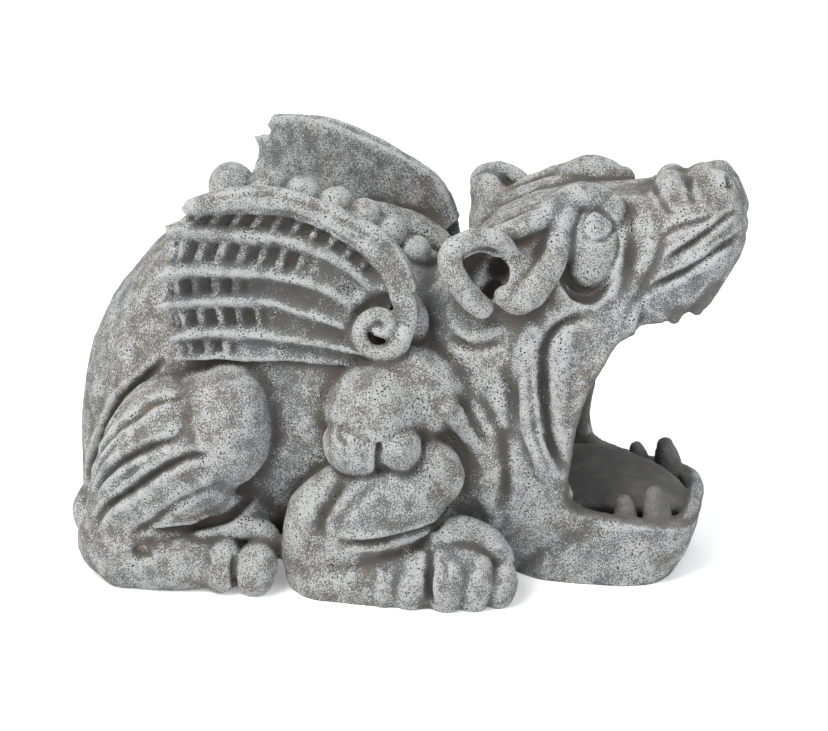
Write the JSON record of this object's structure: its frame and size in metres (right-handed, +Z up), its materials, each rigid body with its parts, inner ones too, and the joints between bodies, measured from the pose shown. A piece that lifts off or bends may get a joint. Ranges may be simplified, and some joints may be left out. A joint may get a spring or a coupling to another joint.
{
  "type": "stone gargoyle",
  "caption": "Crouching winged gargoyle in one cast-stone piece, with a wide open mouth, folded wings, clawed feet and a curled tail, standing flat on its belly and feet.",
  "frame": {"origin": "on the ground, under the middle of the whole figure's box", "axes": "+Z up; +X from the tail towards the snout; +Y the creature's left side"},
  "size_m": [0.3664, 0.222, 0.222],
  "materials": {
    "cast_stone": "weathered grey cast stone, matt and grainy, with pale rubbed high points and darker hollows"
  },
  "bodies": {
    "root": {"gargoyle": "cast_stone"}
  },
  "joints": []
}
